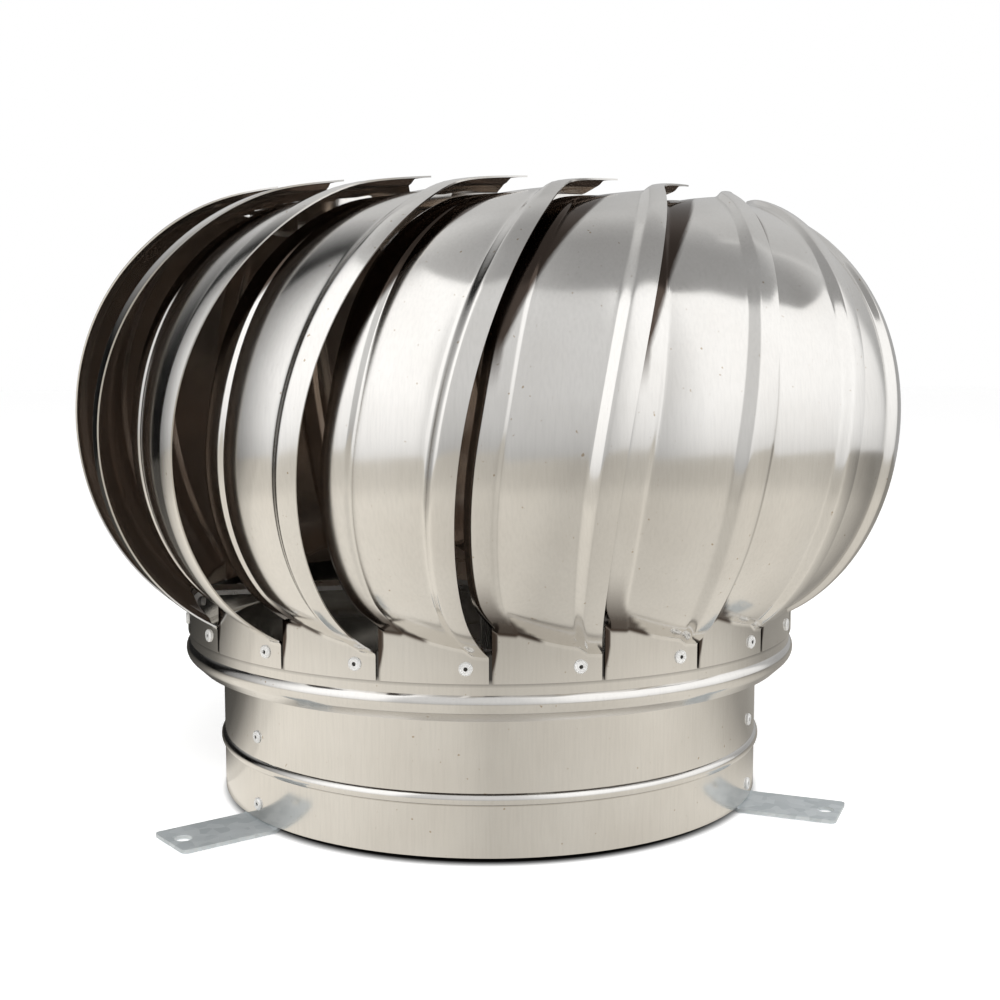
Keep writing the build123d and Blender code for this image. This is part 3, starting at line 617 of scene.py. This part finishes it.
def floor():
    """A plain white floor that keeps a faint shadow, with painted shade inside the throat."""
    mesh = bpy.data.meshes.new("floor")
    sides = [(-1.0, -1.0), (1.0, -1.0), (1.0, 1.0), (-1.0, 1.0)]
    corners = [(x * FLOOR_HALF, y * FLOOR_HALF, FLOOR_HEIGHT) for x, y in sides]
    mesh.from_pydata(corners, [], [(0, 1, 2, 3)])
    piece = bpy.data.objects.new("floor", mesh)
    bpy.context.scene.collection.objects.link(piece)
    material, tree, shader = principled("floor", 0.0, (FLOOR_GREY, FLOOR_GREY, FLOOR_GREY), 0.9)
    shine = add(tree, "ShaderNodeMapRange", To_Min=0.0, To_Max=FLOOR_GLOW)
    tree.links.new(backdrop_ray(tree), shine.inputs["Value"])
    place = add(tree, "ShaderNodeTexCoord")
    inside = (THROAT_R - 2.0) * MM
    outside = (THROAT_R - 1.0) * MM
    # Inside the throat the floor gets no glow and a near-black colour, painted shade where light hardly
    # reaches.
    glow_colour = by_distance(tree, place, [(inside, 0.0), (outside, 1.0)])
    base_colour = by_distance(tree, place, [(inside, SHADED_GREY), (outside, FLOOR_GREY)])
    tree.links.new(glow_colour, shader.inputs["Emission Color"])
    tree.links.new(base_colour, shader.inputs["Base Color"])
    tree.links.new(shine.outputs["Result"], shader.inputs["Emission Strength"])
    mesh.materials.append(material)


def world():
    """White behind the object, and a plain even light from all round."""
    sky = bpy.data.worlds.new("studio")
    bpy.context.scene.world = sky
    sky.use_nodes = True
    tree = sky.node_tree
    back = tree.nodes["Background"]
    level = add(tree, "ShaderNodeMapRange", To_Min=AMBIENT, To_Max=1.0)
    tree.links.new(backdrop_ray(tree), level.inputs["Value"])
    tree.links.new(level.outputs["Result"], back.inputs["Strength"])
    back.inputs["Color"].default_value = (1.0, 1.0, 1.0, 1.0)


def studio():
    """The table, walls and ceiling that the polished sheet reflects, and the lamps."""
    table_stops = [(-147, 0.04), (-119, 0.1), (-110, 0.2), (-102, 0.45), (-95, 0.72)]
    table_stops += [(-86, 0.88), (-79, 0.92), (-43, 0.82), (-18, 0.72), (-7, 0.6)]
    table_stops += [(7, 0.64), (50, 0.8), (72, 0.68), (97, 0.32), (162, 0.4)]
    # The table's glow falls to near black inside the throat, painted shade there.
    table_radii = [(0.15, 0.02), (0.155, 1.0), (0.58, 1.0), (0.74, 0.82), (1.0, 0.78)]
    ground("table", TABLE_RADIUS, TABLE_HEIGHT, (1.0, 0.95, 0.86), table_stops, table_radii)
    side_stops = [(0.4, 0.9), (0.49, 0.62)]
    depth_stops = [(0.5, 0.58), (0.53, 0.68), (0.58, 0.95)]
    ceiling(CEILING_RADIUS, CEILING_HEIGHT, side_stops, depth_stops)

    around = np.arange(-112.0, 112.0, 3.0)
    top_azimuths = [0.0, 30.0, 45.0, 60.0, 75.0, 110.0]
    top_heights = [CEILING_HEIGHT, 2.64, 2.4, 1.8, 1.4, 1.25]
    tops = np.interp(around, top_azimuths, top_heights)
    room_stops = [(-110, 0.22), (-100, 0.42), (-90.5, 0.69), (-90, 0.7), (-82, 0.9)]
    room_stops += [(-75, 0.98), (-45, 0.98), (-39, 0.56), (4, 0.57), (24, 0.9)]
    room_stops += [(40, 0.93), (75, 0.92), (100, 0.84), (112, 0.64)]
    room_heights = [(0.0, 0.64), (0.22, 0.79), (0.6, 0.92), (1.0, 0.94)]
    wall("room", around, tops, ROOM_RADIUS, room_heights, room_stops)

    beside = np.arange(107.0, 174.0, 3.0)
    beside_stops = [(107, 0.62), (112, 0.46), (140, 0.5), (170, 0.42)]
    tall = np.full(len(beside), CEILING_HEIGHT)
    wall("side_wall", beside, tall, REAR_RADIUS, [(0.4, 0.62), (0.95, 0.9)], beside_stops)
    behind = np.arange(173.0, 251.0, 3.0)
    back_stops = [(173, 0.5), (205, 0.5), (240, 0.0)]
    tall = np.full(len(behind), CEILING_HEIGHT)
    wall("back_wall", behind, tall, REAR_RADIUS, [(0.5, 0.02), (0.95, 0.9)], back_stops)

    lamp("key_lamp", (-0.7, -1.6, 1.9), 1.6, 30.0)
    lamp("fill_lamp", (1.5, -0.8, 1.4), 1.4, 14.0)


def lamp(name, place, size, power):
    """A soft lamp aimed at the object, kept out of reflections."""
    data = bpy.data.lights.new(name, "AREA")
    data.shape = "DISK"
    data.size = size
    data.energy = power
    piece = bpy.data.objects.new(name, data)
    bpy.context.scene.collection.objects.link(piece)
    piece.location = place
    piece.rotation_mode = "QUATERNION"
    piece.rotation_quaternion = (LAMP_AIM - Vector(place)).to_track_quat("-Z", "Y")
    piece.visible_glossy = False


def camera():
    """The photograph's camera."""
    data = bpy.data.cameras.new("camera")
    data.lens = CAMERA_LENS
    data.sensor_width = CAMERA_SENSOR
    data.clip_start = 0.01
    piece = bpy.data.objects.new("camera", data)
    bpy.context.scene.collection.objects.link(piece)
    heading = math.radians(CAMERA_HEADING)
    pitch = math.radians(CAMERA_PITCH)
    level = math.cos(pitch)
    ahead = Vector((math.sin(heading) * level, math.cos(heading) * level, -math.sin(pitch)))
    piece.location = Vector(CAMERA_PLACE) * MM
    piece.rotation_mode = "QUATERNION"
    piece.rotation_quaternion = ahead.to_track_quat("-Z", "Y")
    bpy.context.scene.camera = piece


materials = {
    "polished_stainless": polished_steel("polished_stainless_sheet"),
    "galvanised_steel": galvanised_steel(),
    "zinc_plated_steel": plain_metal("zinc_plate", (0.68, 0.68, 0.67), 0.3, 90.0),
    "bright_steel": plain_metal("ground_steel", (0.72, 0.72, 0.72), 0.2, 120.0),
    "cage_brass": plain_metal("machined_brass", (0.76, 0.6, 0.33), 0.3, 120.0),
    "rivet_alloy": plain_metal("rivet_alloy", (0.92, 0.92, 0.91), 0.4, 200.0, 0.35),
}
blade_inside = plain_metal("blade_inside", (0.44, 0.36, 0.3), 0.2, 18.0, 0.85)
dress_nodes(materials)
# Painted shade: the ring's sheet is darkened above the tabs' lower end, where the blade tabs cover it.
nodes["rotor_ring"].material_slots[0].material = polished_steel("ring_stainless_sheet", TAB_BOTTOM * MM)

for index in range(BLADE_COUNT):
    number = index + 1
    sheet = blade_mesh(number, ROTOR_PHASE + BLADE_PITCH * index)
    blade = with_thickness(sheet, f"blade_skin_{number:02d}", materials["polished_stainless"], blade_inside)
    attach(blade, "rotor")
    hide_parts(f"blade_{number:02d}")

# The mandrel stubs are real, but their near-black tone is painted shade for the rivet heads' holes.
stub_steel_and_shade = plain_metal("mandrel_steel_and_shade", (0.07, 0.066, 0.062), 0.45, 300.0)
blade_rivets = [(ROTOR_PHASE + BLADE_PITCH * index, TAB_OUTER_R, RIVET_Z) for index in range(BLADE_COUNT)]
throat_rivets = [(azimuth, THROAT_R, z) for azimuth in THROAT_RIVET_AZIMUTHS for z in THROAT_RIVET_HEIGHTS]
rivet_stubs("blade_rivet_stubs", "rotor", blade_rivets, stub_steel_and_shade)
rivet_stubs("throat_rivet_stubs", "base", throat_rivets, stub_steel_and_shade)

bpy.context.scene.view_settings.view_transform = "Standard"
camera()
world()
floor()
studio()
